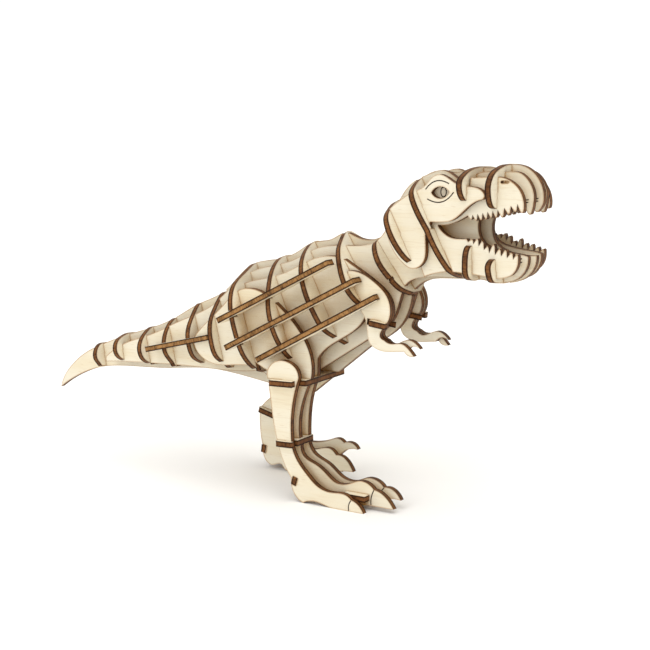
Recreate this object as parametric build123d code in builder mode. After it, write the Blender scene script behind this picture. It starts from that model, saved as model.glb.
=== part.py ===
from build123d import *
import os
from math import cos, radians, sin

# A dinosaur built like a jigsaw: flat plywood plates, cut to outline, that slot into each other.
# +X runs from the tail to the head, +Y is the dinosaur's left, +Z is up, and the origin is on the
# ground under the middle of the object. All sizes are in millimetres.

# ---------------------------------------------------------------- driving dimensions
SHEET = 3.0             # plywood thickness
PITCH = 7.5             # spacing of the lengthwise plates across the body
FIT = 0.1               # how much wider a slot is than the sheet that it holds
REACH = 60.0            # length of the open end of a slot, past any outline
GROOVE = 0.55           # width of an engraved line
GROOVE_DEPTH = 0.4      # depth of an engraved line
SLOT = SHEET + FIT

# Lengthwise plates stand at these distances from the middle plane.
INNER = 1 * PITCH       # body, neck and skull
SIDE = 2 * PITCH        # body side, inner leg and arm; jaws
DOUBLED = SIDE + SHEET  # plates that lie flat against the side plates: outer arm, cheek
THIGH = 3 * PITCH       # thigh, shank and middle toe
SHIN = 4 * PITCH        # knee cap, shin and outer toe

RIGHT, LEFT = -1, 1
SIDES = {"right": RIGHT, "left": LEFT}


def both(*pairs):
    """Seats at the same height on both sides of the middle plane."""
    seats = {}
    for y, seat in pairs:
        seats[y] = seat
        seats[-y] = seat
    return seats


# ---------------------------------------------------------------- cross plates
# Each cross plate stands across the body. Its plane holds the Y axis and passes through at=(x, z);
# lean tips its top back towards the tail. Outlines and seats are measured in that plane, sideways
# from the middle and upwards from at. seats gives, for each lengthwise plate that it crosses, the
# height where the two slots meet. A plate that opens "down" drops onto the lengthwise plates from
# above, and one that opens "up" is pushed on from below.
CROSS = {
    "tail_rib_1": dict(at=(-118.3, 57), lean=11, opens="down", seats={0: -1.2},
        half=[(0, 5.2), (4, 4.4), (7.3, 1.4), (8.1, -3.2), (6, -6.5), (0, -8)]),
    "tail_rib_2": dict(at=(-98.2, 63), lean=11, opens="down", seats=both((0, -1), (INNER, -2)),
        half=[(0, 6.8), (6, 5.9), (12.2, 3), (14, -1.4), (12, -5.6), (6, -8.6), (0, -9.4)]),
    "tail_rib_3": dict(at=(-80.2, 67), lean=12, opens="down", seats=both((0, -2), (INNER, -4)),
        half=[(0, 8), (6, 6.4), (11.5, 2.8), (15, -2.6), (13.2, -9), (7, -12.2), (0, -13)]),
    "tail_rib_4": dict(at=(-62.7, 69), lean=13, opens="down", seats=both((0, -1), (INNER, -2)),
        half=[(0, 12.4), (4.5, 11.2), (9.2, 7.8), (13.8, 1.8), (14.6, -5.6), (11, -11), (0, -14)]),
    "tail_rib_5": dict(at=(-44.3, 75), lean=14, opens="down", seats=both((0, 0), (INNER, -2)),
        half=[(0, 16.2), (4.5, 14.4), (10, 9.6), (16, 2.6), (17.6, -5.2), (15, -12.3), (8, -16.3),
              (0, -17.6)]),
    "tail_rib_6": dict(at=(-25.6, 77), lean=14, opens="down",
        seats=both((0, 1), (INNER, 0), (SIDE, -2)),
        half=[(0, 22), (6, 19.8), (13, 14.3), (20, 6.3), (22, -3.5), (20, -11), (13.5, -15.8),
              (0, -18.6)]),
    "body_rib_1": dict(at=(-4, 91), lean=17, opens="down",
        seats=both((0, -4), (INNER, -5), (SIDE, -7), (THIGH, -8)),
        half=[(0, 25), (7, 23.3), (13, 20.8), (24.4, 15.4), (30.2, 7.9), (32.5, -2), (32.6, -10),
              (31.6, -18), (27.5, -25.4), (20, -30.2), (10, -32.6), (0, -33)]),
    "body_rib_2": dict(at=(16.7, 96), lean=21.5, opens="down",
        seats=both((0, -3), (INNER, -5), (SIDE, -8), (THIGH, -12)),
        half=[(0, 25.6), (6, 24.8), (11, 22.6), (18.7, 16.6), (24.6, 9.2), (29.3, 0.5), (31.1, -8),
              (30.4, -16), (27, -23.4), (20, -28.6), (10, -31.4), (0, -32)]),
    "body_rib_3": dict(at=(38.9, 101), lean=27, opens="down",
        seats=both((0, 0), (INNER, -1), (SIDE, 0)),
        half=[(0, 30.3), (6, 29), (14, 24.8), (21, 18.2), (24.8, 11), (26.5, 2.5), (26, -7),
              (23.8, -14.3), (17.5, -19.6), (12.4, -22.8), (8, -25.6), (0, -26.8)]),
    "body_rib_4": dict(at=(53.3, 119), lean=31, opens="down",
        seats=both((0, -6), (INNER, -8), (SIDE, -10), (DOUBLED, -12)),
        half=[(0, 17.4), (6, 15.2), (14.5, 9.4), (19.7, 2.6), (23.2, -5), (24.2, -12), (21.2, -18.8),
              (15, -23.4), (7, -26.4), (0, -27)]),
    "neck_collar": dict(at=(73.9, 120.6), lean=35, opens="up", seats=both((0, -2), (INNER, -2)),
        half=[(0, 14.6), (6.5, 13.7), (10.5, 12.3), (14, 9), (17.2, 1), (15.2, -7.6), (11, -14.2),
              (5, -17.2), (0, -17.8)]),
    "nape_rib": dict(at=(85.7, 134.5), lean=27.5, opens="down",
        seats=both((0, 1), (INNER, 1), (DOUBLED, 2)),
        half=[(0, 19.2), (9, 18.6), (17, 15.6), (23.8, 11.2), (26.3, 4), (24.7, -5.6), (20, -11.6),
              (12, -14.6), (0, -15.2)]),
    "snout_rib_rear": dict(at=(119, 159), lean=2, opens="down",
        seats=both((0, 1), (INNER, 1), (SIDE, 0.5), (DOUBLED, -2.4)),
        half=[(0, 9.8), (8, 9.4), (15, 8.3), (20, 6.5), (23.8, 3.6), (24, 0), (21.3, -4), (15, -6.8),
              (0, -7.6)]),
    "snout_rib_front": dict(at=(133.2, 157), lean=0, opens="down",
        seats=both((0, 3), (INNER, 3), (SIDE, 1)),
        half=[(0, 13.2), (8, 12.9), (13.5, 11.8), (20.4, 9), (23.6, 4.2), (23, -1), (20.4, -5),
              (13, -6.8), (0, -7.2)]),
}

# The rib behind the mouth is two half rings, which meet edge to edge.
CHEEK = dict(at=(101.5, 139.5), lean=26)
CROSS["cheek_rib_upper"] = dict(CHEEK, opens="down",
    seats=both((0, 13), (INNER, 13), (SIDE, 12), (DOUBLED, 12)),
    half=[(0, 26.6), (8, 25.6), (19, 21.4), (22.4, 18.8), (24, 13), (23.4, 6.4), (21.8, 0)])
CROSS["cheek_rib_lower"] = dict(CHEEK, opens="up",
    seats=both((0, -12), (INNER, -12), (SIDE, -11)),
    half=[(21.8, 0), (21.4, -8.4), (19.2, -16), (16.6, -20.6), (12, -23.6), (5, -25.6), (0, -26)])
CROSS["jaw_rib_rear"] = dict(at=(121, 126), lean=0, opens="up",
    seats=both((0, -1), (INNER, -1), (SIDE, 0)),
    half=[(16.5, 7), (18.9, 6), (20.8, 2), (21, -2), (20.2, -6.4), (17, -8.8), (9, -9.7), (0, -9.8)])
CROSS["jaw_rib_front"] = dict(at=(133.2, 122), lean=3, opens="up",
    seats=both((0, -1), (INNER, -1), (SIDE, 0)),
    half=[(16.5, 5.4), (19.2, 4.7), (21.9, 2.2), (21.6, -0.6), (19.6, -4.2), (14, -6), (7, -6.8),
          (0, -7)])


def side_seats(side, *pairs):
    """Seats on one side of the middle plane only."""
    return {side * y: seat for y, seat in pairs}


# Bands lie nearly flat round a leg or an arm. Their "up" is towards the front, so lean is -90 for
# a level one. box gives the inner and outer edge across the body and the rear and front edge; lip
# is how far the strip outside the outermost plate stops short of the front; reach is the length of
# the notch that the plates have for it. turned lists seats whose two slots open the other way.
BANDS = {}
for word, side in SIDES.items():
    BANDS[f"elbow_band_{word}"] = dict(at=(77, 92.2), lean=-97, side=side, opens="up",
        seats=side_seats(side, (SIDE, -1.5), (DOUBLED, -1.5)), box=(12.9, 22.4, -6.8, 4.2), lip=1.8,
        reach=7.4)
BANDS["knee_band_right"] = dict(at=(27, 60.2), lean=-88, side=RIGHT, opens="up",
    seats=side_seats(RIGHT, (SHIN, -0.5)), turned={0: 5.6, RIGHT * SIDE: 7.6, RIGHT * THIGH: 7.6},
    box=(-9.4, 34.6, -7.4, 11.4), lip=4.6, reach=22)
BANDS["knee_band_left"] = dict(at=(7.4, 55.2), lean=-104, side=LEFT, opens="up",
    seats=side_seats(LEFT, (SIDE, -0.5), (THIGH, -0.5), (SHIN, -0.5)),
    box=(11.6, 34.6, -9.6, 8.6), lip=2.8, reach=16)
BANDS["ankle_band_right"] = dict(at=(29, 29.2), lean=-88, side=RIGHT, opens="up",
    seats=side_seats(RIGHT, (SHIN, -0.5)), turned={RIGHT * SIDE: 0.5, RIGHT * THIGH: 0.5},
    box=(12.9, 33.6, -6, 4.4), lip=0.4, reach=16)
BANDS["ankle_band_left"] = dict(at=(-9.5, 30.6), lean=-104, side=LEFT, opens="up",
    seats=side_seats(LEFT, (SIDE, 0), (THIGH, 0), (SHIN, 0)),
    box=(11.2, 33.6, -9.4, 5.4), lip=2.4, reach=16)

# Keys go right through square holes in the plates of a leg: the heel bar and the toe plate.
# at is its middle in side view, size its length and height there, turn its tilt, span its reach
# across the leg, and plates the lengthwise plates that it goes through.
KEYS = {
    "heel_bar_right": dict(at=(33.4, 10.6), size=(SHEET, 4.2), turn=-16, side=RIGHT,
        span=(12.9, 31.8), plates=(SIDE, THIGH, SHIN)),
    "heel_bar_left": dict(at=(-16.2, 10.6), size=(SHEET, 4.2), turn=-8, side=LEFT,
        span=(12.9, 31.8), plates=(SIDE, THIGH, SHIN)),
    "toe_plate_right": dict(at=(66, 6.2), size=(13, SHEET), turn=0, side=RIGHT,
        span=(13, 28.4), plates=(SIDE, THIGH)),
    "toe_plate_left": dict(at=(17, 5.4), size=(13, SHEET), turn=0, side=LEFT,
        span=(13, 28.4), plates=(SIDE, THIGH)),
}

# Bars run along the flanks and the tail, notched into the rims of the ribs. start and end are the
# ends in side view. outer is how far out the outer edge stands at the start and at the end, and
# inner lists the inner edge as (share of the length, distance from the middle). joins names the
# ribs, with the distance from the middle where the notches of rib and bar meet.
BARS = {
    "tail_bar": dict(start=(-73.2, 65.2), end=(-28.2, 76.5), outer=(17.4, 21.4),
        inner=[(0, 11.4), (0.6, 16.2), (0.7, 17), (1, 18.6)],
        joins={"tail_rib_4": 14, "tail_rib_5": 16.8}),
    "flank_bar_upper": dict(start=(-11.3, 88.8), end=(49.4, 121.4), outer=(34.8, 26.2),
        inner=[(0, 26.8), (1, 20.6)],
        joins={"body_rib_1": 29.2, "body_rib_2": 24.8, "body_rib_3": 24}),
    "flank_bar_middle": dict(start=(-6.5, 75.2), end=(65, 113.8), outer=(35, 27),
        inner=[(0, 28.4), (1, 20.4)],
        joins={"body_rib_1": 30.2, "body_rib_2": 28.6, "body_rib_3": 24.8, "body_rib_4": 22.6}),
    "flank_bar_lower": dict(start=(12.3, 70.7), end=(74.6, 106), outer=(34.2, 23.4),
        inner=[(0, 25.6), (0.36, 24.3), (0.44, 21.6), (1, 19.8)],
        joins={"body_rib_2": 27, "body_rib_3": 22.4}),
}


# ---------------------------------------------------------------- shared tools
def plate_plane(y):
    """The XZ plane at y, with X to the right and Z up; its normal points to the right side."""
    return Plane.XZ.offset(-y)


def cross_plane(at, lean):
    """A plane across the body: its x is +Y, and its y is up, tipped back by lean."""
    x, z = at
    return Plane(origin=(x, 0, z), x_dir=(0, 1, 0), z_dir=(cos(radians(lean)), 0, sin(radians(lean))))


def draw(*spans):
    """Fill the closed outline that the spans make: two points are a line, more are a curve."""
    with BuildLine() as outline:
        for span in spans:
            if len(span) == 2:
                Line(*span)
            else:
                Spline(*span)
    make_face(outline.edges())


def moved(points, dx, dz=0.0):
    return [(x + dx, z + dz) for x, z in points]


def crossings(cross):
    """Each lengthwise plate that a cross plate meets: its y, the seat, and which way its slot opens."""
    direction = 1 if cross["opens"] == "down" else -1
    meetings = [(y, seat, direction) for y, seat in cross["seats"].items()]
    return meetings + [(y, seat, -direction) for y, seat in cross.get("turned", {}).items()]


def plate_slots(plate_y):
    """Cut the slots and holes of a lengthwise plate into the sketch in progress."""
    meetings = [(cross, seat, direction) for cross in list(CROSS.values()) + list(BANDS.values())
                for y, seat, direction in crossings(cross) if y == plate_y]
    for cross, seat, direction in meetings:
        reach = cross.get("reach", REACH)
        middle = seat + direction * reach / 2
        x, z = cross["at"]
        lean = radians(cross["lean"])
        with Locations((x - middle * sin(lean), z + middle * cos(lean))):
            Rectangle(SLOT, reach, rotation=cross["lean"], mode=Mode.SUBTRACT)
    for key in KEYS.values():
        if plate_y in [key["side"] * distance for distance in key["plates"]]:
            length, height = key["size"]
            with Locations(key["at"]):
                Rectangle(length + FIT, height + FIT, rotation=key["turn"], mode=Mode.SUBTRACT)


def cross_slots(cross):
    """Cut a cross plate's own slots into the sketch in progress."""
    for y, seat, direction in crossings(cross):
        with Locations((y, seat - direction * REACH / 2)):
            Rectangle(SLOT, REACH, mode=Mode.SUBTRACT)


def finish(part, name):
    """Label a finished piece and write it to its own file."""
    part.label = name
    export_step(part, f"parts/{name}.step")


def engrave(plane, *lines):
    """Cut thin curved lines into the face that lies in the plane; the plane's normal points out."""
    with BuildSketch(plane) as grooves:
        for line in lines:
            with BuildLine() as stroke:
                if len(line) == 2:
                    Line(*line)
                else:
                    Spline(*line)
            trace(stroke.edges(), line_width=GROOVE)
    extrude(grooves.sketch, amount=-GROOVE_DEPTH, mode=Mode.SUBTRACT)


def outer_face(side, distance):
    """The face on the given side of the plate at that distance from the middle, with +X as its x."""
    return Plane(origin=(0, side * (distance + SHEET / 2), 0), x_dir=(1, 0, 0), z_dir=(0, side, 0))


def on_face(side, points):
    """Points in side view as seen in outer_face, whose own up is reversed on the left side."""
    return [(x, -side * z) for x, z in points]


os.makedirs("parts", exist_ok=True)

# ---------------------------------------------------------------- outlines of the lengthwise plates
BACK = [(-151, 33), (-148, 40), (-142, 47), (-131, 55.4), (-118, 61.6), (-98.5, 69), (-81, 74.6),
        (-65.5, 81), (-48, 90.6), (-31, 98.6), (-12, 114.6), (1, 117.6), (16, 122.6), (25.5, 128),
        (37, 130.4), (45.5, 134), (50.7, 132.4), (60, 131.2), (68.5, 134.8), (79, 152.2),
        (87, 161.6), (97.6, 166.4), (105, 165.6), (116, 168.2), (124.8, 168.3), (133.4, 170.1),
        (142.9, 168.8), (149.2, 162.5), (151, 153.5)]
PALATE = [(144.8, 152), (136, 149.2), (126.8, 146.4)]
THROAT = [(126.8, 146.4), (125.5, 140), (127.4, 133.6), (135, 129.2), (148.2, 128.6)]
CHIN = [(148.2, 128.6), (147.8, 124), (144, 118.4), (137.8, 115.4), (120, 115.2), (104, 114.8),
        (93.5, 113.6), (87.6, 110.8), (83.4, 106.4)]
CHEST = [(83.4, 106.4), (81.8, 98.6), (77.4, 90), (69.8, 83.3), (60, 77.6)]
KEEL = [(60, 77.6), (26, 50)]
UNDERSIDE = [(26, 50), (18, 47.4), (8, 49.6), (-9, 52.6), (-42.4, 55.4), (-70, 52.6), (-101.4, 50.6),
             (-118, 48.4), (-130, 44.6), (-141.4, 39.2), (-151, 33)]

# Short creases are engraved by the front teeth and by the chin.
SPINE_CREASES = [[(146.8, 154.6), (148.5, 155)], [(146.8, 153.4), (148.3, 153.8)]]
INNER_CREASES = [[(145, 154.4), (146.9, 154.8)], [(145, 153.2), (146.7, 153.6)],
                 [(142.4, 127), (144.3, 127.6)], [(142.6, 125.4), (144.4, 126)]]

with BuildPart() as spine_plate:
    with BuildSketch(plate_plane(0)):
        draw(BACK, [(151, 153.5), (150.2, 151.2), (149, 149.6)], [(149, 149.6), (147.7, 148.6),
             (146.6, 149.6), (146, 152)], [(146, 152), (144.8, 152)], PALATE, THROAT, CHIN, CHEST,
             KEEL, UNDERSIDE)
        plate_slots(0)
    extrude(amount=SHEET / 2, both=True)
    for face in (RIGHT, LEFT):
        engrave(outer_face(face, 0), *[on_face(face, line) for line in SPINE_CREASES])
finish(spine_plate.part, "spine_plate")

INNER_BACK = [(-109, 56.5), (-92, 66.6), (-74, 73), (-56.2, 81.2), (-35, 91), (-10, 110.4),
              (2.7, 115), (16, 118.4), (33.9, 126.6), (54.9, 128.6), (66, 131), (79.5, 151.6),
              (87, 160.8), (96.2, 165.3), (102.5, 167), (108.3, 164.9), (113, 162.4), (120.2, 165.6),
              (134.4, 167), (141.8, 167), (147.6, 162), (149.3, 153.5)]
INNER_PALATE = [(144.4, 152), (135, 149.6), (123.4, 147.6)]
INNER_THROAT = [(123.4, 147.6), (121.8, 140.6), (123.6, 135), (130, 131.4), (147.3, 128.6)]
INNER_CHIN = [(147.3, 128.6), (146.9, 124), (143, 118.4), (136, 115.9), (122, 116.6), (106, 116.2),
              (93.6, 115.4), (87.2, 113.8), (82, 108.6)]
INNER_CHEST = [(82, 108.6), (79.4, 100), (76, 92.4), (70, 86.4), (62.1, 81.9)]
INNER_BELLY = [(32, 62.4), (14, 62.2), (-10, 58.4), (-40, 57.2), (-77, 56), (-109, 53.6)]

for word, side in SIDES.items():
    with BuildPart() as inner_plate:
        with BuildSketch(plate_plane(side * INNER)):
            draw(INNER_BACK, [(149.3, 153.5), (149, 151), (148.5, 149.2)],
                 [(148.5, 149.2), (147.4, 147.9), (146.2, 149.2), (145.6, 152)],
                 [(145.6, 152), (144.4, 152)],
                 INNER_PALATE, INNER_THROAT, INNER_CHIN, INNER_CHEST,
                 [(62.1, 81.9), (32, 62.4)], INNER_BELLY, [(-109, 53.6), (-109, 56.5)])
            plate_slots(side * INNER)
        extrude(amount=SHEET / 2, both=True)
        engrave(outer_face(side, INNER), *[on_face(side, line) for line in INNER_CREASES])
    finish(inner_plate.part, f"inner_plate_{word}")

# The side plate carries the flank, the inner leg and the arm. It runs from its point on the tail
# over the back to the shoulder, down the arm, back along the belly and down the leg.
FLANK = [(-40.8, 74), (-35.4, 80.4), (-27.5, 87.6), (-19.6, 95), (-10, 104.6), (8.4, 110.4), (20, 114.4),
         (35.7, 121.8), (53.7, 122.3)]
SHOULDER = [(53.7, 122.3), (63.4, 116.9), (70.8, 112.4), (77.5, 106.8), (80.4, 100.6), (79.6, 94.6),
            (76.6, 90.6), (75, 87.2), (78, 84.6)]
BELLY = [(65.9, 96.4), (61.3, 89.5), (46.7, 79.7), (37.8, 71.4)]
RUMPS = {
    RIGHT: [(6.8, 59.4), (-14, 62.6), (-31, 62.6), (-37, 66), (-40.8, 74)],
    LEFT: [(6, 59.6), (-14, 62.6), (-31, 62.6), (-37, 66), (-40.8, 74)],
}
ARM_BACK = [(88.8, 80.2), (82, 79.4), (75, 79.6), (69.6, 82.8), (68.2, 89), (65.9, 96.4)]

# Legs. The right foot stands under the hip, and the left foot stands further back.
SHANK_BACK = [(31.4, 12), (27.7, 17.6), (24.4, 25.4), (21, 38.4), (19.2, 50.4), (18, 62.2)]
HEEL = [(37, 1.6), (33.4, 3.8), (31.6, 7.7), (31.4, 12)]
INSTEP = [(32.2, 28), (36.4, 21.2), (44.5, 17.4), (52.4, 11.8), (59.9, 10.9), (67.5, 13.7),
          (72.4, 13.2), (76.6, 10.2)]
INNER_CLAW = [(76.6, 10.2), (81, 10), (84.4, 7.6), (86.1, 4.9)]
INNER_SOLE = [(86.1, 4.9), (80, 5), (72, 3.4), (58, 3.4), (49, 3)]
SPUR = [(49, 3), (46.2, 0.2), (43.4, 3), (40, 2.4), (37, 1.6)]
MIDDLE_INSTEP = [(32.2, 28), (35.7, 20.8), (41.7, 18.4), (47.1, 15), (53, 11), (61, 11.6),
                 (67.5, 14), (71.8, 13.2), (75.2, 10.6)]
MIDDLE_CLAW = [(75.2, 10.6), (80.4, 8.8), (83.8, 5.8), (86.3, 2.3)]
MIDDLE_SOLE = [(86.3, 2.3), (80.6, 2.2), (72.8, 2.2), (58, 1), (47, 2), (37, 1.6)]
OUTER_INSTEP = [(31.9, 28), (34.4, 22.4), (40.9, 14.9), (47.4, 9.7), (54, 8), (62.6, 8.2),
                (66.6, 5.9)]
OUTER_CLAW = [(66.6, 5.9), (69.8, 4.6), (72, 2.6), (73.6, 0)]
OUTER_SOLE = [(73.6, 0), (65.4, 0)]
OUTER_ARCH = [(58, 0), (53, 0.4), (46.5, 1.8), (41.5, 1.4), (38.5, 0)]
STEP_BACK = -48.5       # how far the left foot is behind the right

LEFT_SHANK_BACK = [(-17.1, 12), (-18.3, 18), (-18.9, 25.6), (-18.4, 32.4), (-10.4, 41)]
LEFT_SIDE_BACK = LEFT_SHANK_BACK + [(-1, 50.6), (6, 59.6)]
LEFT_THIGH_BACK = [(2.6, 57), (-1.6, 66), (-7, 76), (-10.8, 88), (-9.6, 98)]
LEFT_SHANK_FRONT = [(8.6, 45), (0.6, 36.6), (-4.8, 30.6), (-6, 25)]
LEFT_INSTEP = [(-6, 25), (-3.4, 20.4), (3, 16.8), (11, 14.3), (19.5, 15.4), (24.4, 16.6), (30.2, 13.4)]
LEFT_INNER_CLAW = [(30.2, 13.4), (34, 13.2), (37.8, 10.4), (40.8, 5.6)]
LEFT_INNER_SOLE = [(40.8, 5.6), (33, 5), (24, 3.4), (10, 2.6), (0.5, 3)]
LEFT_MIDDLE_INSTEP = [(-6, 25), (-3.4, 20.4), (3, 17), (12, 16.6), (21, 18.8), (26.2, 20.5),
                      (30.6, 18.6)]
LEFT_KNEE_CAP = [(-5, 54.6), (-4.2, 60.4), (0.4, 65.4), (8.4, 68.4), (15.6, 66.4), (18.4, 61)]
LEFT_OUTER_INSTEP = [(-6, 25), (-5, 17), (-1.1, 10.6), (5.5, 8.2), (14.1, 8.2), (18.1, 5.9)]
LEFT_MIDDLE_CLAW = [(30.6, 18.6), (34.4, 19.3), (37.4, 18.2), (39.2, 15.9)]
LEFT_MIDDLE_SOLE = [(39.2, 15.9), (31, 14), (26, 9), (20, 2.4), (10, 0), (-4, 0)]


# The line where each claw starts, engraved on the outer face.
INNER_CLAW_LINE = {RIGHT: [(76.6, 10), (74.9, 7.4), (74.5, 3.8)],
                   LEFT: [(30.2, 13.2), (28.6, 9.4), (29, 4.8)]}
MIDDLE_CLAW_LINE = {RIGHT: [(75.2, 10.4), (73.8, 7), (73.6, 2.6)],
                    LEFT: [(30.6, 18.4), (29.6, 16.4), (30.2, 14)]}
OUTER_CLAW_LINE = {RIGHT: [(66.5, 5.7), (65.2, 3), (65.3, 0.2)],
                   LEFT: moved([(66.5, 5.7), (65.2, 3), (65.3, 0.2)], STEP_BACK)}


def side_leg(side):
    """The inner leg's outline, from the front of the thigh round the foot to the rump."""
    if side == RIGHT:
        return [[(37.8, 71.4), (37.6, 62)], [(37.6, 62), (33.6, 50), (32.2, 38), (32.2, 28)], INSTEP,
                INNER_CLAW, INNER_SOLE, SPUR, HEEL, SHANK_BACK, [(18, 62.2), (6.8, 59.4)]]
    heel = moved(HEEL, STEP_BACK, 0.4)
    spur = moved(SPUR, STEP_BACK, 0.4)
    return [[(37.8, 71.4), (29, 66), (19, 56.6)] + LEFT_SHANK_FRONT, LEFT_INSTEP, LEFT_INNER_CLAW,
            LEFT_INNER_SOLE, [(0.5, 3), spur[0]], spur, heel, [heel[-1]] + LEFT_SIDE_BACK[1:]]


FINGER = [(78, 84.6), (82.7, 83), (87, 85), (90.4, 85.5), (94.2, 83.6), (96, 81.6)]
FINGER_UNDER = [(96, 81.6), (92, 82.6), (88.8, 80.2)]

for word, side in SIDES.items():
    with BuildPart() as side_plate:
        with BuildSketch(plate_plane(side * SIDE)):
            draw(FLANK, SHOULDER, FINGER, FINGER_UNDER, ARM_BACK, BELLY, *side_leg(side), RUMPS[side])
            plate_slots(side * SIDE)
        extrude(amount=SHEET / 2, both=True)
        engrave(outer_face(side, SIDE), on_face(side, INNER_CLAW_LINE[side]))
    finish(side_plate.part, f"side_plate_{word}")

OUTER_SHOULDER = [(57, 117.4), (64.7, 116.5), (73.1, 112), (78.7, 106.8), (80.9, 101),
                  (80.2, 95), (77, 90.4), (75.3, 87), (78, 84.6)]
OUTER_FINGER = [(78, 84.6), (82.6, 83.4), (87.4, 83.9), (91, 81.8), (94.2, 78.3)]
OUTER_FINGER_UNDER = [(94.2, 78.3), (91, 78.4), (88.8, 80.2)]
OUTER_BLADE = [(65.9, 96.4), (62, 102), (58.4, 109.6), (57, 117.4)]

for word, side in SIDES.items():
    with BuildPart() as outer_arm:
        with BuildSketch(plate_plane(side * DOUBLED)):
            draw(OUTER_SHOULDER, OUTER_FINGER, OUTER_FINGER_UNDER, ARM_BACK, OUTER_BLADE)
            plate_slots(side * DOUBLED)
        extrude(amount=SHEET / 2, both=True)
    finish(outer_arm.part, f"outer_arm_{word}")

THIGH_TOP = [(-9.6, 98), (-5.7, 103.4), (0.6, 105.1), (9.7, 103.4), (19.6, 97.2), (31.8, 85.4)]
THIGH_FRONT = {RIGHT: [(37.8, 74.4), (38.6, 62.6)], LEFT: [(36.6, 76), (35.6, 69)]}
THIGH_BACK = [(18, 62.2), (6, 66.6), (-5, 76), (-10.6, 88), (-9.6, 98)]


def thigh_leg(side):
    """The middle leg's outline, from the front of the thigh round the foot to its back."""
    if side == RIGHT:
        return [[(38.6, 62.6), (34, 52), (31.2, 38), (32.2, 28)], MIDDLE_INSTEP, MIDDLE_CLAW,
                MIDDLE_SOLE, HEEL, SHANK_BACK, THIGH_BACK]
    heel = moved(HEEL, STEP_BACK)
    return [[(35.6, 69), (29, 61.6), (18, 52.6)] + LEFT_SHANK_FRONT, LEFT_MIDDLE_INSTEP,
            LEFT_MIDDLE_CLAW, LEFT_MIDDLE_SOLE, [(-4, 0), heel[0]], heel,
            [heel[-1]] + LEFT_SHANK_BACK[1:] + [(-3, 49), (2.6, 57)], LEFT_THIGH_BACK]


KNEE_CAP = [(17.4, 61.4), (17.8, 66.6), (21.6, 70.4), (28, 71.4), (33.6, 69), (36, 63.4)]


def shin_leg(side):
    """The outer leg's outline, with the knee cap."""
    if side == RIGHT:
        return [KNEE_CAP, [(36, 63.4), (33.4, 55), (31.4, 42), (31.9, 28)], OUTER_INSTEP, OUTER_CLAW,
                OUTER_SOLE, [(65.4, 0), (58, 0)], OUTER_ARCH, [(38.5, 0)] + HEEL[1:],
                SHANK_BACK[:-1] + [(17.4, 61.4)]]
    heel = moved([(38.5, 0)] + HEEL[1:], STEP_BACK)
    return [LEFT_KNEE_CAP, [(18.4, 61), (14.6, 53)] + LEFT_SHANK_FRONT, LEFT_OUTER_INSTEP,
            moved(OUTER_CLAW, STEP_BACK), moved(OUTER_SOLE, STEP_BACK),
            moved([(65.4, 0), (58, 0)], STEP_BACK), moved(OUTER_ARCH, STEP_BACK), heel,
            [heel[-1]] + LEFT_SHANK_BACK[1:] + [(-6, 47), (-5, 54.6)]]


for word, side in SIDES.items():
    with BuildPart() as thigh_plate:
        with BuildSketch(plate_plane(side * THIGH)):
            draw(THIGH_TOP + THIGH_FRONT[side], *thigh_leg(side))
            plate_slots(side * THIGH)
        extrude(amount=SHEET / 2, both=True)
        engrave(outer_face(side, THIGH), on_face(side, MIDDLE_CLAW_LINE[side]))
    finish(thigh_plate.part, f"thigh_plate_{word}")

    with BuildPart() as shin_plate:
        with BuildSketch(plate_plane(side * SHIN)):
            draw(*shin_leg(side))
            plate_slots(side * SHIN)
        extrude(amount=SHEET / 2, both=True)
        engrave(outer_face(side, SHIN), on_face(side, OUTER_CLAW_LINE[side]))
    finish(shin_plate.part, f"shin_plate_{word}")

# ---------------------------------------------------------------- head side plates
def teeth(first, last, *depths):
    """Round-tipped teeth that lean forwards, evenly spaced from gap to gap; below 0 they point up."""
    profile = [(0.3, 0.5), (0.55, 0.88), (0.75, 1), (0.92, 0.8), (1, 0)]
    points = [first]
    for i, depth in enumerate(depths):
        for step, drop in profile:
            share = (i + step) / len(depths)
            points.append((first[0] + share * (last[0] - first[0]),
                           first[1] + share * (last[1] - first[1]) - drop * depth))
    return [pair for pair in zip(points, points[1:])]


JAW_CROWN = [(97.6, 116.8), (95.2, 123), (92.6, 134), (91.6, 146), (92.4, 157.4)]
JAW_BROW = [(92.4, 157.4), (100, 160.8), (107.6, 164), (113.4, 161.6), (120.8, 161)]
SNOUT = [(121.2, 164.4), (129.9, 165), (138.4, 164.5), (144.9, 160.4), (147.8, 154), (147.9, 150.8)]
FANG = [(147.9, 150.8), (147.1, 149.2), (145.9, 150.2)]
LIP_REAR = [(118, 145.6), (113.6, 143.4), (109, 142), (104.6, 141.9)]
LIP_LOWER = [(104.6, 141.3), (107.3, 138.4), (111.4, 136.2), (115.4, 135.8), (119.6, 136)]
LOWER_FANG = [(144.1, 129.4), (145.1, 130.1), (145.7, 128)]
JAW_FRONT = [(145.7, 128), (145, 123.8), (142.6, 120.6), (139, 119.1), (130, 118.9), (120, 119.6)]
JAW_UNDER = [(120, 119.6), (108.7, 119.8), (97.6, 116.8)]

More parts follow.
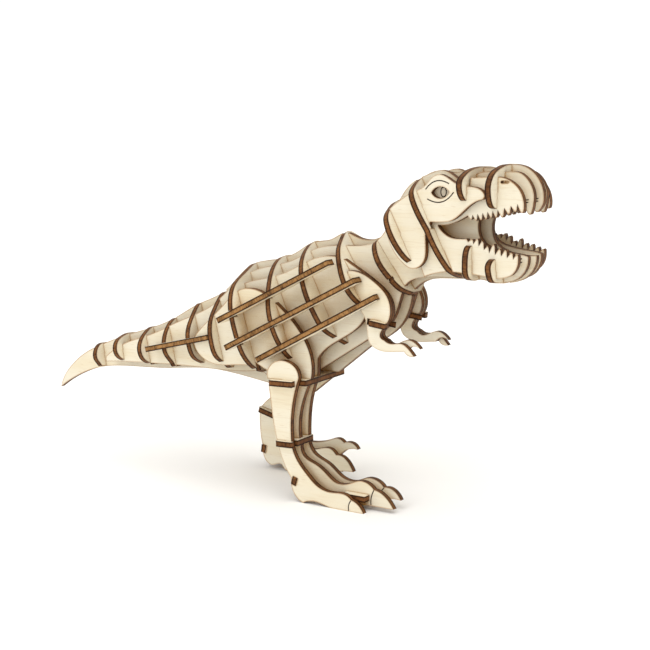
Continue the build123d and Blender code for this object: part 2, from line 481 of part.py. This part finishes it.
for word, side in SIDES.items():
    with BuildPart() as jaw_plate:
        with BuildSketch(plate_plane(side * SIDE)):
            draw(JAW_CROWN, JAW_BROW, [(120.8, 161), (121.2, 164.4)], SNOUT,
                 FANG, [(145.9, 150.2), (144.7, 153.3)],
                 *teeth((135, 150.2), (144.7, 153.3), 4.3, 3.7, 3.5),
                 *teeth((119.9, 146.8), (135, 150.2), 2.2, 3.2, 3.4, 3.4, 3.2, 3.6),
                 [(119.9, 146.8), (118, 145.6)],
                 LIP_REAR, [(104.6, 141.9), (104.6, 141.3)], LIP_LOWER, [(119.6, 136), (120.4, 134.6)],
                 *teeth((120.4, 134.6), (125.8, 132.8), -2, -3.4),
                 *teeth((125.8, 132.8), (131.1, 129.8), -3.7, -2.9),
                 *teeth((131.1, 129.8), (143.2, 127.8), -4.9, -3.4, -3.6, -3),
                 [(143.2, 127.8), (144.1, 129.4)], LOWER_FANG, JAW_FRONT, JAW_UNDER)
            plate_slots(side * SIDE)
            with Locations((138.3, 162.9)):
                SlotOverall(4.2, 1.3, rotation=4, mode=Mode.SUBTRACT)
        extrude(amount=SHEET / 2, both=True)
        with BuildSketch(outer_face(side, SIDE)):
            with Locations(on_face(side, [(107.3, 157.3)])):
                Ellipse(1.7, 2.5)
                Ellipse(1.15, 1.95, mode=Mode.SUBTRACT)
        extrude(amount=-GROOVE_DEPTH, mode=Mode.SUBTRACT)
    finish(jaw_plate.part, f"jaw_plate_{word}")

CHEEK_TOP = [(77.6, 141), (79.4, 147.4), (86, 153), (93, 157.2), (98.4, 159.6), (102.6, 164),
             (106.2, 165.6), (110, 164.6), (115.6, 161.4), (122.4, 160.4), (128.4, 158.6), (129.7, 156.6),
             (128.4, 154.6)]
CHEEK_UNDER = [(128.4, 154.6), (120, 149.8), (113, 144.4), (107.2, 143.4), (102, 143.4)]
JOWL = [(99.5, 137.5), (99.8, 130), (98.4, 123.8), (93.4, 120.6), (87, 123.4), (80, 133),
        (77.6, 141)]

for word, side in SIDES.items():
    with BuildPart() as cheek_plate:
        with BuildSketch(plate_plane(side * DOUBLED)):
            draw(CHEEK_TOP, CHEEK_UNDER, [(102, 143.4), (99.5, 137.5)], JOWL)
            plate_slots(side * DOUBLED)
            with BuildLine():
                ThreePointArc((102.4, 157), (107.4, 160), (111.8, 157.5))
                ThreePointArc((111.8, 157.5), (107.4, 154.4), (102.4, 157))
            make_face(mode=Mode.SUBTRACT)
        extrude(amount=SHEET / 2, both=True)
        engrave(outer_face(side, DOUBLED),
                on_face(side, [(99.4, 158.4), (105.4, 162.6), (111.6, 161.4)]),
                on_face(side, [(100.3, 154), (107.6, 152.8), (114, 157.6)]))
    finish(cheek_plate.part, f"cheek_plate_{word}")

# ---------------------------------------------------------------- cross plates
NOTCH = 1.3             # width of the small nick in each side of the neck collar's rim


def cross_outline(cross):
    """Fill a cross plate's outline: its half curve, mirrored about the middle plane."""
    half = cross["half"]
    with BuildLine() as outline:
        if half[0][0] == 0 and half[-1][0] == 0:
            Spline(*half, tangents=[(1, 0), (-1, 0)])
        else:
            Spline(*half)
        if half[0][0] > 0:
            Line((0, half[0][1]), half[0])
        if half[-1][0] > 0:
            Line(half[-1], (0, half[-1][1]))
        mirror(about=Plane.YZ)
    make_face(outline.edges())


def crossing(bar, cross):
    """Where a bar crosses a cross plate: distance along the bar, height on the plate, notch width."""
    (x0, z0), (x1, z1) = bar["start"], bar["end"]
    length = ((x1 - x0) ** 2 + (z1 - z0) ** 2) ** 0.5
    ux, uz = (x1 - x0) / length, (z1 - z0) / length
    x, z = cross["at"]
    lean = radians(cross["lean"])
    nx, nz = cos(lean), sin(lean)
    along = ((x - x0) * nx + (z - z0) * nz) / (ux * nx + uz * nz)
    height = (z0 + along * uz - z) / cos(lean)
    square = abs(ux * nx + uz * nz)
    width = SLOT / square + SHEET * (1 - square ** 2) ** 0.5 / square
    return along, height, width


for name, cross in CROSS.items():
    with BuildPart() as cross_plate:
        with BuildSketch(cross_plane(cross["at"], cross["lean"])):
            cross_outline(cross)
            cross_slots(cross)
            for bar in BARS.values():
                if name not in bar["joins"]:
                    continue
                along, height, width = crossing(bar, cross)
                meet = bar["joins"][name]
                with Locations((meet + REACH / 2, height), (-meet - REACH / 2, height)):
                    Rectangle(REACH, width, mode=Mode.SUBTRACT)
            if name == "neck_collar":
                with Locations((16.6, -7.9), (-16.6, -7.9)):
                    Rectangle(5, NOTCH, mode=Mode.SUBTRACT)
        extrude(amount=SHEET / 2, both=True)
    finish(cross_plate.part, name)

for name, band in BANDS.items():
    inner, outer, rear, front = band["box"]
    outermost = max(abs(y) for y in band["seats"]) - SHEET / 2
    with BuildPart() as band_plate:
        with BuildSketch(cross_plane(band["at"], band["lean"])):
            with Locations((band["side"] * (inner + outer) / 2, (rear + front) / 2)):
                RectangleRounded(outer - inner, front - rear, 1.4)
            cross_slots(band)
            with Locations((band["side"] * (outermost + REACH / 2), front - band["lip"] + REACH / 2)):
                Rectangle(REACH, REACH, mode=Mode.SUBTRACT)
        extrude(amount=SHEET / 2, both=True)
    finish(band_plate.part, name)

# ---------------------------------------------------------------- keys through the feet
for name, key in KEYS.items():
    near, far = key["span"]
    with BuildPart() as key_bar:
        with BuildSketch(plate_plane(key["side"] * near)):
            with Locations(key["at"]):
                Rectangle(*key["size"], rotation=key["turn"])
        extrude(amount=-key["side"] * (far - near))
    finish(key_bar.part, name)

# ---------------------------------------------------------------- bars along the flanks and tail
for name, bar in BARS.items():
    (x0, z0), (x1, z1) = bar["start"], bar["end"]
    length = ((x1 - x0) ** 2 + (z1 - z0) ** 2) ** 0.5
    for word, side in SIDES.items():
        plane = Plane(origin=(x0, 0, z0), x_dir=(x1 - x0, 0, z1 - z0), z_dir=(z0 - z1, 0, x1 - x0))
        with BuildPart() as side_bar:
            with BuildSketch(plane):
                with BuildLine():
                    Polyline(*[(share * length, side * y) for share, y in bar["inner"]],
                             (length, side * bar["outer"][1]), (0, side * bar["outer"][0]),
                             close=True)
                make_face()
                for rib, meet in bar["joins"].items():
                    along, height, width = crossing(bar, CROSS[rib])
                    with Locations((along, side * (meet - REACH / 2))):
                        Rectangle(width, REACH, mode=Mode.SUBTRACT)
            extrude(amount=SHEET / 2, both=True)
        finish(side_bar.part, f"{name}_{word}")
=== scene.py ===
import math
import random

import bpy
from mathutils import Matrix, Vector

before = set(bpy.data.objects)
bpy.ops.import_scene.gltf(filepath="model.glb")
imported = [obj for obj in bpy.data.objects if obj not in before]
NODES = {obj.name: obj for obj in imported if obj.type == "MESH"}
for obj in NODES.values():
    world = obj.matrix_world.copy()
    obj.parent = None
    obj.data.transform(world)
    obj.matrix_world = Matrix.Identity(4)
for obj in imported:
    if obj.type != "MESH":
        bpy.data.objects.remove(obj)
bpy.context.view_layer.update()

MM = 0.001

# ---------------------------------------------------------------- camera
CAMERA_PLACE = (395.6 * MM, -580.0 * MM, 198.9 * MM)
CAMERA_LOOKS_DOWN = math.radians(9.4)
CAMERA_TURNS_LEFT = math.radians(32.1)
LENS = 74.8
SENSOR = 36.0


def add_camera():
    """A long lens in front of the dinosaur's right side, a little above it."""
    data = bpy.data.cameras.new("camera")
    data.lens = LENS
    data.sensor_width = SENSOR
    data.clip_start = 0.01
    data.clip_end = 20.0
    camera = bpy.data.objects.new("camera", data)
    camera.location = CAMERA_PLACE
    camera.rotation_euler = (math.pi / 2 - CAMERA_LOOKS_DOWN, 0, CAMERA_TURNS_LEFT)
    bpy.context.scene.collection.objects.link(camera)
    bpy.context.scene.camera = camera


add_camera()


# ---------------------------------------------------------------- node helpers
class Graph:
    """A short way to build a node tree: add gives the node, and the other calls give its output."""

    def __init__(self, tree):
        self.tree = tree

    def add(self, kind, inputs=None, **settings):
        """Adds a node; an input is either another node's output or a constant."""
        node = self.tree.nodes.new(kind)
        for name, value in settings.items():
            setattr(node, name, value)
        for key, value in (inputs or {}).items():
            if isinstance(value, bpy.types.NodeSocket):
                self.tree.links.new(value, node.inputs[key])
            else:
                node.inputs[key].default_value = value
        return node

    def math(self, operation, a, b=None):
        inputs = {0: a} if b is None else {0: a, 1: b}
        return self.add("ShaderNodeMath", inputs, operation=operation).outputs[0]

    def dot(self, a, b):
        return self.add("ShaderNodeVectorMath", {0: a, 1: b}, operation="DOT_PRODUCT").outputs[1]

    def scaled(self, vector, scale):
        return self.add("ShaderNodeVectorMath", {0: vector, "Scale": scale}, operation="SCALE").outputs[0]

    def mix(self, factor, a, b, blend="MIX"):
        return self.add("ShaderNodeMix", {0: factor, 6: a, 7: b}, data_type="RGBA",
                        blend_type=blend).outputs[2]

    def ramp(self, value, low, high, at_low, at_high):
        """Goes smoothly from at_low, where the value is low, to at_high, where it is high."""
        return self.add("ShaderNodeMapRange", {0: value, 1: low, 2: high, 3: at_low, 4: at_high},
                        interpolation_type="SMOOTHSTEP").outputs[0]

    def noise(self, vector, detail, roughness):
        return self.add("ShaderNodeTexNoise", {"Vector": vector, "Scale": 1.0, "Detail": detail,
                                               "Roughness": roughness}).outputs[0]

    def bump(self, height, strength, distance):
        return self.add("ShaderNodeBump", {"Strength": strength, "Distance": distance,
                                           "Height": height}).outputs[0]


def rgb(r, g, b):
    """Turns a screen colour, 0 to 255, into the linear colour that a shader wants."""
    def linear(v):
        v /= 255.0
        return v / 12.92 if v <= 0.04045 else ((v + 0.055) / 1.055) ** 2.4
    return (linear(r), linear(g), linear(b), 1.0)


def sheet_frame(obj):
    """The sheet's normal, which is the side with the most area, and its middle plane's distance."""
    totals = {}
    for face in obj.data.polygons:
        n = face.normal
        if n.y < -1e-3 or (abs(n.y) <= 1e-3 and n.z < 0):
            n = -n
        key = tuple(round(v, 2) for v in n)
        area, total = totals.get(key, (0.0, Vector((0, 0, 0))))
        totals[key] = (area + face.area, total + n * face.area)
    normal = max(totals.values(), key=lambda item: item[0])[1].normalized()
    distances = [v.co.dot(normal) for v in obj.data.vertices]
    return normal, (min(distances) + max(distances)) / 2


# ---------------------------------------------------------------- birch plywood, cut by laser
FACE_PALE = rgb(233, 226, 208)
FACE_WARM = rgb(226, 212, 181)
FIBRE = rgb(196, 170, 130)
# Painted shade: the warm tan that faces are multiplied towards deep in the gaps between sheets.
PAINTED_SHADE_TAN = rgb(205, 162, 92)
SCORCH = rgb(166, 116, 54)
CHAR_DARK = rgb(38, 20, 9)
BROWN_EDGE = (rgb(88, 52, 27), rgb(134, 88, 48))
# Bar edges: real char, painted lighter as a painted highlight where the bars catch light from above.
BAR_EDGE_PAINTED_LIT = (rgb(132, 92, 52), rgb(174, 130, 80))

SHEET = 3.0 * MM
# How far the painted shade in the gaps looks for nearby sheets.
PAINTED_SHADE_REACH = 14 * MM
SMOKE_REACH = 1.8 * MM
FACE_RELIEF = 0.12 * MM
EDGE_RELIEF = 0.2 * MM
STROKES_PER_METRE = 1300.0
BLOTCHES_PER_METRE = 160.0
SPECKLES_PER_METRE = 900.0
SHIFT_ALONG, SHIFT_ACROSS, SHIFT_DEPTH = 0.37, 0.53, 1.7
GLOSS = 0.12


def veneer(g, u, v, seed, warmth):
    """Pale birch with long faint fibres, soft warm patches and a few darker flecks along the grain."""
    def grain(along, across, detail, roughness):
        place = g.add("ShaderNodeCombineXYZ", {0: g.math("MULTIPLY", u, along),
                                               1: g.math("MULTIPLY", v, across),
                                               2: seed * SHIFT_DEPTH}).outputs[0]
        return g.noise(place, detail, roughness)

    bands = grain(10, 90, 3.0, 0.6)
    fibres = grain(60, 1300, 2.0, 0.6)
    flecks = grain(190, 2400, 1.0, 0.5)
    patches = grain(30, 30, 2.0, 0.5)
    face = g.mix(g.ramp(bands, 0.38, 0.72, 0, 0.6), FACE_PALE, FACE_WARM)
    face = g.mix(g.ramp(patches, 0.4, 0.8, 0, warmth), face, FACE_WARM)
    face = g.mix(g.ramp(fibres, 0.5, 0.85, 0, 0.3), face, FIBRE)
    face = g.mix(g.ramp(flecks, 0.66, 0.8, 0, 0.45), face, FIBRE)
    return face, fibres, flecks, patches


def smoke_and_painted_shade(g, face, normal, patches):
    """The face with painted shade tanned deep in the gaps between sheets, and with the laser's smoke beside
    each cut.
    """
    open_sky = g.add("ShaderNodeAmbientOcclusion", {"Distance": PAINTED_SHADE_REACH}, samples=6).outputs["AO"]
    # Painted shade: the less open sky a point sees, the more its face is multiplied towards the tan.
    face = g.mix(g.ramp(open_sky, 0.08, 0.46, 1, 0), face, PAINTED_SHADE_TAN, "MULTIPLY")
    rounded = g.add("ShaderNodeBevel", {"Radius": SMOKE_REACH}, samples=8).outputs[0]
    flatness = g.math("ABSOLUTE", g.dot(rounded, normal))
    smoke = g.math("MULTIPLY", g.ramp(flatness, 0.78, 0.998, 0.85, 0), g.ramp(patches, 0.2, 0.7, 0.5, 1))
    return g.mix(smoke, face, SCORCH)


def burnt_edge(g, position, depth, normal, off_middle, mid_brown, light_brown):
    """Charred plies, darkest at both faces, with the laser's fine lines across the sheet."""
    flattened = g.scaled(normal, g.math("MULTIPLY", depth, 0.75))
    drawn_out = g.add("ShaderNodeVectorMath", {0: position, 1: flattened}, operation="SUBTRACT").outputs[0]
    strokes = g.noise(g.scaled(drawn_out, STROKES_PER_METRE), 2.0, 0.6)
    blotches = g.noise(g.scaled(drawn_out, BLOTCHES_PER_METRE), 2.0, 0.5)
    speckles = g.noise(g.scaled(position, SPECKLES_PER_METRE), 2.0, 0.6)
    core = g.math("MULTIPLY", g.ramp(off_middle, 0.3, 0.8, 1, 0), g.ramp(blotches, 0.3, 0.65, 0.3, 1))
    core = g.math("MULTIPLY", core, g.ramp(strokes, 0.3, 0.65, 0.55, 0.9))
    char = g.mix(g.ramp(strokes, 0.34, 0.6, 0.1, 1), CHAR_DARK, mid_brown)
    char = g.mix(core, char, light_brown)
    char = g.mix(g.ramp(off_middle, 0.4, 0.85, 0, 0.95), char, CHAR_DARK)
    char = g.mix(g.ramp(speckles, 0.5, 0.7, 0, 0.45), char, CHAR_DARK)
    return char, strokes


def plywood(name, sheet, along, seed, warmth, edge_browns):
    """One sheet's material: veneer on the two faces and burnt plies on the cut edges."""
    material = bpy.data.materials.new(name)
    material.use_nodes = True
    material.node_tree.nodes.clear()
    g = Graph(material.node_tree)

    normal, middle = sheet
    across = tuple(normal.cross(along).normalized())
    normal, along = tuple(normal), tuple(along)
    position = g.add("ShaderNodeTexCoord").outputs["Object"]
    true_normal = g.add("ShaderNodeNewGeometry").outputs["True Normal"]
    u = g.math("ADD", g.dot(position, along), seed * SHIFT_ALONG)
    v = g.math("ADD", g.dot(position, across), seed * SHIFT_ACROSS)
    depth = g.dot(position, normal)
    off_middle = g.math("DIVIDE", g.math("ABSOLUTE", g.math("SUBTRACT", depth, middle)), SHEET / 2)

    face, fibres, flecks, patches = veneer(g, u, v, seed, warmth)
    face = smoke_and_painted_shade(g, face, normal, patches)
    char, strokes = burnt_edge(g, position, depth, normal, off_middle, *edge_browns)

    facing = g.math("ABSOLUTE", g.dot(true_normal, normal))
    on_face = g.math("MULTIPLY", g.ramp(facing, 0.6, 0.8, 0, 1), g.ramp(off_middle, 0.9, 0.96, 0, 1))
    roughness = g.math("ADD", g.math("MULTIPLY", on_face, 0.06), g.ramp(fibres, 0.3, 0.8, 0.52, 0.62))
    height = g.math("ADD", g.math("MULTIPLY", fibres, 0.5), g.math("MULTIPLY", flecks, 0.35))
    relief = g.add("ShaderNodeMix", {0: on_face, 4: g.bump(strokes, 0.6, EDGE_RELIEF),
                                     5: g.bump(height, 0.16, FACE_RELIEF)}, data_type="VECTOR").outputs[1]
    shader = g.add("ShaderNodeBsdfPrincipled", {"Base Color": g.mix(on_face, char, face),
                                                "Roughness": roughness, "Normal": relief,
                                                "Specular IOR Level": GLOSS})
    g.add("ShaderNodeOutputMaterial", {"Surface": shader.outputs[0]})
    return material


def grain_direction(name, normal):
    """Along the body on upright plates and on bars, and across it on every other piece."""
    if abs(normal.y) > 0.9:
        return Vector((1, 0, 0))
    if "bar" in name:
        return (Vector((1, 0, 0)) - normal * normal.x).normalized()
    return Vector((0, 1, 0))


def dress_nodes():
    """Every node gets its own piece of plywood, and the long strips get edges painted lighter, a painted
    highlight where light from above falls on them.
    """
    chance = random.Random(11)
    for index, (name, obj) in enumerate(sorted(NODES.items())):
        sheet = sheet_frame(obj)
        strip = name.startswith(("flank_bar", "tail_bar"))
        # The bars' edges get the lighter browns: a painted highlight on their char.
        material = plywood("birch_" + name, sheet, grain_direction(name, sheet[0]), seed=index * 0.731 + 1,
                           warmth=chance.uniform(0.1, 0.45), edge_browns=BAR_EDGE_PAINTED_LIT if strip else BROWN_EDGE)
        obj.data.materials.clear()
        obj.data.materials.append(material)


dress_nodes()

# ---------------------------------------------------------------- studio
FLOOR_HALF = 6.0
FLOOR_WHITE = (0.95, 0.95, 0.95, 1)
LIGHT_ON_OBJECT = (0.80, 0.775, 0.72, 1)
BACKDROP_SEEN = (1.05, 1.05, 1.05, 1)


def add_floor():
    """A plain sheet of white paper under the feet."""
    mesh = bpy.data.meshes.new("floor")
    corners = [(x * FLOOR_HALF, y * FLOOR_HALF, 0) for x, y in ((-1, -1), (1, -1), (1, 1), (-1, 1))]
    mesh.from_pydata(corners, [], [(0, 1, 2, 3)])
    floor = bpy.data.objects.new("floor", mesh)
    bpy.context.scene.collection.objects.link(floor)
    material = bpy.data.materials.new("floor_paper")
    material.use_nodes = True
    shader = material.node_tree.nodes["Principled BSDF"]
    shader.inputs["Base Color"].default_value = FLOOR_WHITE
    shader.inputs["Roughness"].default_value = 0.9
    shader.inputs["Specular IOR Level"].default_value = 0.1
    mesh.materials.append(material)


def add_sun(name, direction, angle, strength):
    """A soft distant light that shines from the given direction towards the middle."""
    data = bpy.data.lights.new(name, "SUN")
    data.energy = strength
    data.angle = math.radians(angle)
    light = bpy.data.objects.new(name, data)
    light.rotation_euler = Vector(direction).to_track_quat("Z", "Y").to_euler()
    light.location = Vector(direction).normalized()
    bpy.context.scene.collection.objects.link(light)


def add_world():
    """A white backdrop whose light on the object is dimmer than what the camera sees."""
    world = bpy.data.worlds.new("studio")
    world.use_nodes = True
    g = Graph(world.node_tree)
    seen = g.add("ShaderNodeLightPath").outputs["Is Camera Ray"]
    colour = g.mix(seen, LIGHT_ON_OBJECT, BACKDROP_SEEN)
    g.tree.links.new(colour, g.tree.nodes["Background"].inputs[0])
    bpy.context.scene.world = world


add_floor()
add_world()
add_sun("key", direction=(-0.22, -1.0, 0.8), angle=42, strength=0.6)
add_sun("top", direction=(0.1, -0.1, 1.0), angle=75, strength=1.3)
bpy.context.scene.view_settings.view_transform = "Standard"
